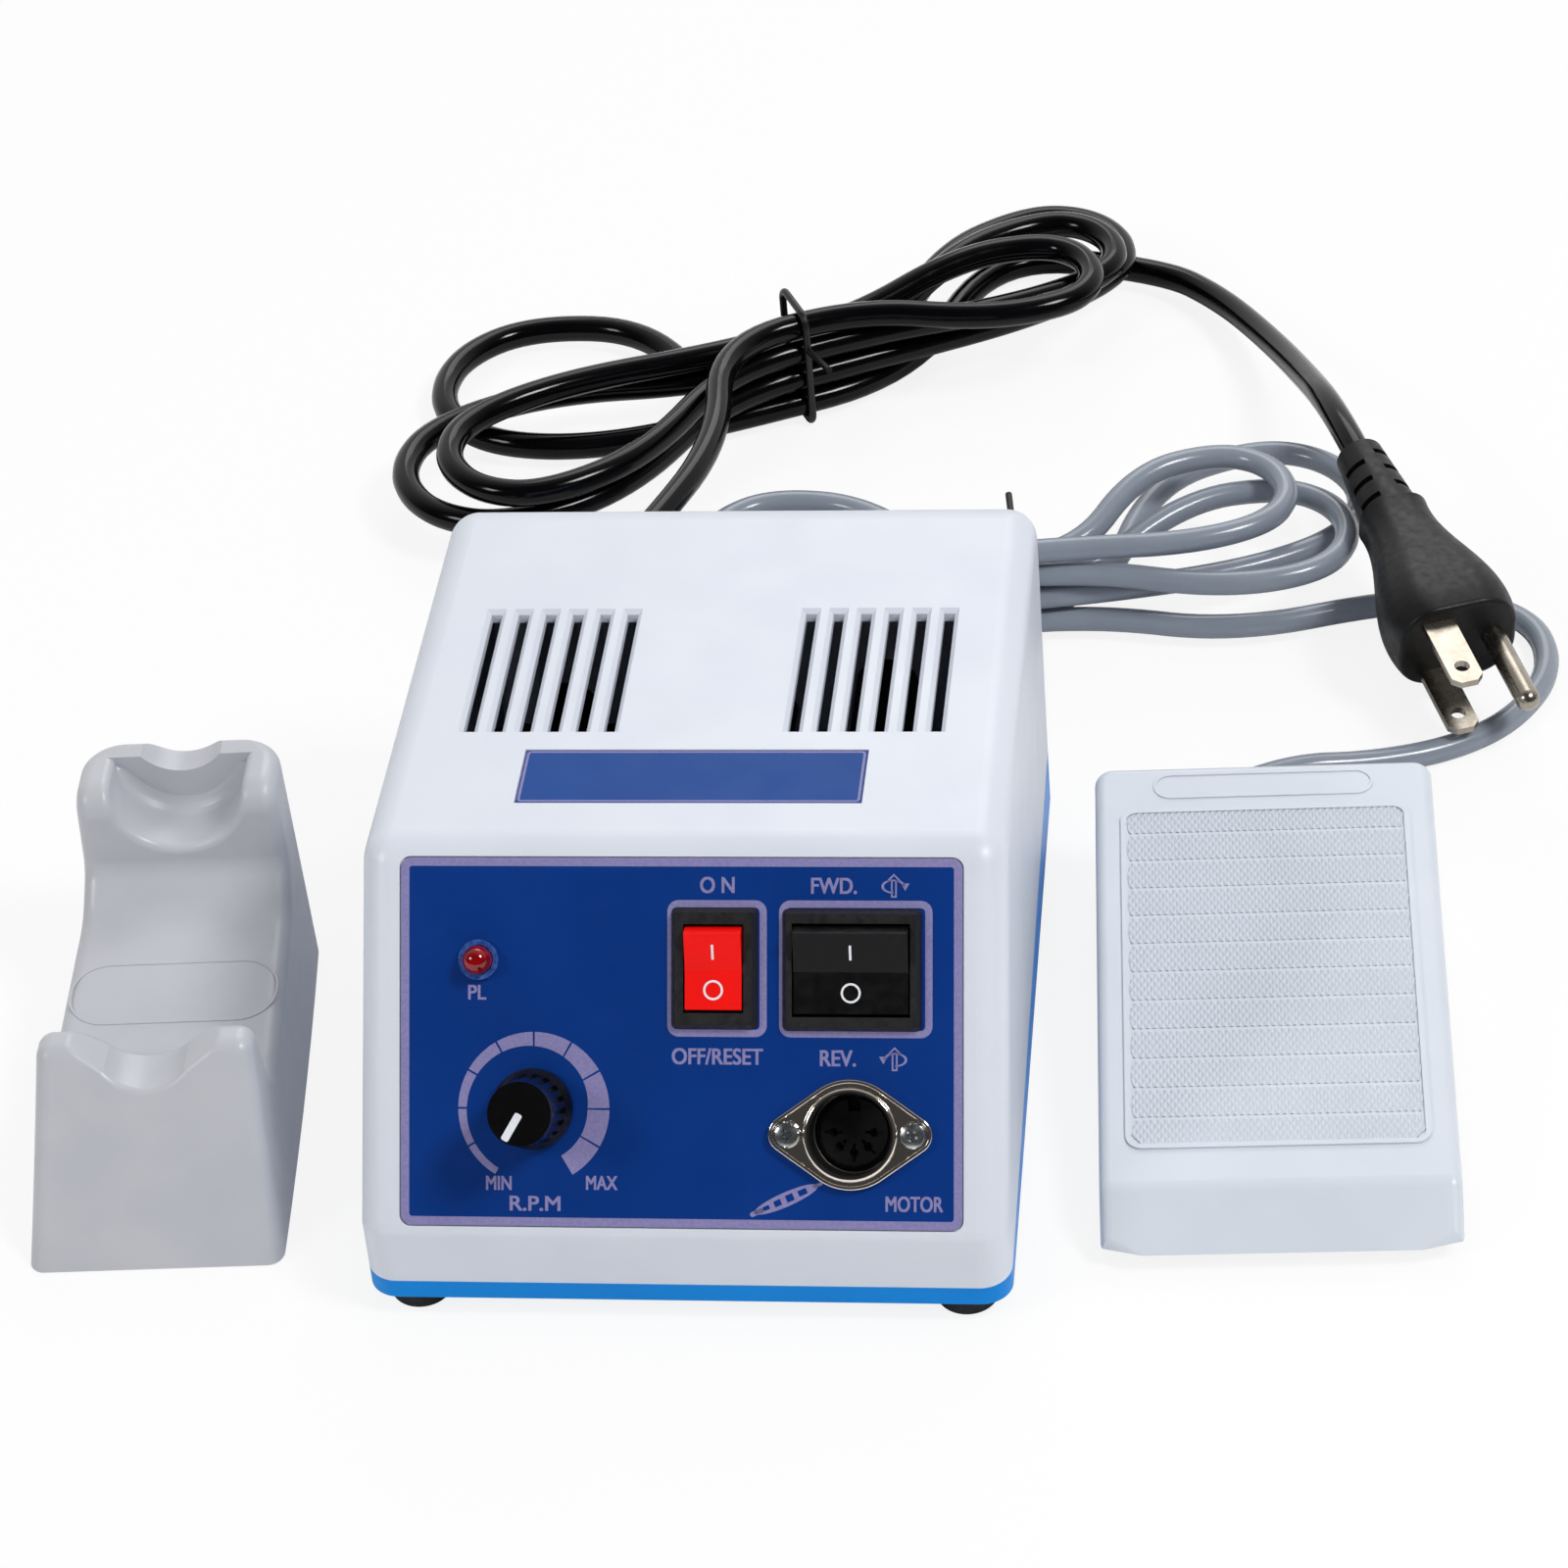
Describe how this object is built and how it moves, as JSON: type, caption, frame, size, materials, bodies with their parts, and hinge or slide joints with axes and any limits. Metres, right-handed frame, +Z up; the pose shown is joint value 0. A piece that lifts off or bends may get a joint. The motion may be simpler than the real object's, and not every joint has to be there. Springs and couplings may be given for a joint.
{
  "type": "laboratory micromotor set",
  "caption": "Bench control box with sloping panel, foot pedal and handpiece rest, with hanked mains and pedal cords.",
  "frame": {"origin": "on the bench, under the middle of the three standing items without the cords", "axes": "+X to the control box's right-hand side, +Y to its rear, +Z up"},
  "size_m": [0.2781, 0.3548, 0.0733],
  "materials": {
    "cover_white": "satin",
    "base_blue": "satin",
    "panel_print": "gloss",
    "strip_print": "gloss",
    "black_rubber": "matte",
    "zinc_steel": "satin",
    "black_plastic": "satin",
    "red_plastic": "gloss",
    "socket_chrome": "polished",
    "lamp_red": "gloss",
    "shaft_aluminium": "satin",
    "knob_black": "gloss",
    "pointer_white": "satin",
    "contact_brass": "satin",
    "contact_nickel": "satin",
    "core_steel": "satin",
    "coil_wrap": "satin",
    "board_green": "satin",
    "sink_aluminium": "satin",
    "rest_grey": "satin",
    "pedal_grey": "satin",
    "pedal_base_grey": "satin",
    "cord_grey": "satin",
    "cord_black": "gloss",
    "plug_black": "satin",
    "tie_black": "satin"
  },
  "bodies": {
    "set": {"top_cover": "cover_white", "base_tray": "base_blue", "front_panel_label": "panel_print", "top_strip_label": "strip_print", "rubber_feet": "black_rubber", "case_screws": "zinc_steel", "power_switch_housing": "black_plastic", "direction_switch_housing": "black_plastic", "led_holder": "socket_chrome", "led_lens": "lamp_red", "potentiometer_body": "zinc_steel", "potentiometer_nut": "zinc_steel", "motor_socket_shell": "socket_chrome", "motor_socket_insert": "black_plastic", "motor_socket_contacts": "contact_brass", "motor_socket_screws": "zinc_steel", "mains_strain_relief": "cord_black", "fuse_holder": "black_plastic", "fuse_cap": "black_plastic", "foot_socket": "black_plastic", "foot_cord_plug": "cord_grey", "transformer_core": "core_steel", "transformer_coil": "coil_wrap", "transformer_strap": "zinc_steel", "transformer_screws": "zinc_steel", "control_board": "board_green", "board_screws": "zinc_steel", "board_capacitors": "black_plastic", "board_heat_sink": "sink_aluminium", "rest_body": "rest_grey", "rest_pads": "black_rubber", "pedal_base": "pedal_base_grey", "pedal_feet": "black_rubber", "pedal_hinge_pin": "zinc_steel", "pedal_return_spring": "zinc_steel", "pedal_switch_body": "black_plastic", "pedal_cord_bushing": "cord_grey", "pedal_cord_run": "cord_grey", "pedal_cord_hank": "cord_grey", "pedal_cord_lead": "cord_grey", "pedal_hank_tie": "tie_black", "mains_cord_tail": "cord_black", "mains_cord_hank": "cord_black", "mains_cord_lead": "cord_black", "mains_hank_tie": "tie_black", "mains_plug_body": "plug_black", "mains_plug_blades": "contact_nickel", "mains_plug_ground_pin": "contact_nickel"},
    "speed_dial": {"speed_knob": "knob_black", "knob_pointer": "pointer_white", "potentiometer_shaft": "shaft_aluminium"},
    "power_switch": {"power_rocker": "red_plastic"},
    "direction_switch": {"direction_rocker": "black_plastic"},
    "pedal_tread": {"pedal_cover": "pedal_grey"},
    "pedal_switch": {"pedal_switch_plunger": "pointer_white"}
  },
  "joints": [
    {"name": "speed_turn", "type": "hinge", "parent": "set", "child": "speed_dial", "pos_m": [-0.03089, -0.06357, 0.03696], "axis": [0, 0.7934, -0.6088], "range_deg": [0, 300]},
    {"name": "power_rock", "type": "hinge", "parent": "set", "child": "power_switch", "pos_m": [0.00051, -0.04846, 0.05599], "axis": [-1, 0, 0], "range_deg": [0, 18]},
    {"name": "direction_rock", "type": "hinge", "parent": "set", "child": "direction_switch", "pos_m": [0.02421, -0.04858, 0.05583], "axis": [-1, 0, 0], "range_deg": [0, 18]},
    {"name": "tread_press", "type": "hinge", "parent": "set", "child": "pedal_tread", "pos_m": [0.09265, 0.03043, 0.009], "axis": [0.9988, 0.048, 0], "range_deg": [0, 1.7], "stiffness_Nm_per_rad": 6, "springref_deg": -1.72, "deforming": ["pedal_return_spring"]},
    {"name": "plunger_press", "type": "slide", "parent": "set", "child": "pedal_switch", "axis": [0, 0, -1], "range_m": [0, 0.00093]}
  ],
  "couplings": [
    {"joint": "plunger_press", "follows": "tread_press", "m_per_rad": 0.031}
  ]
}
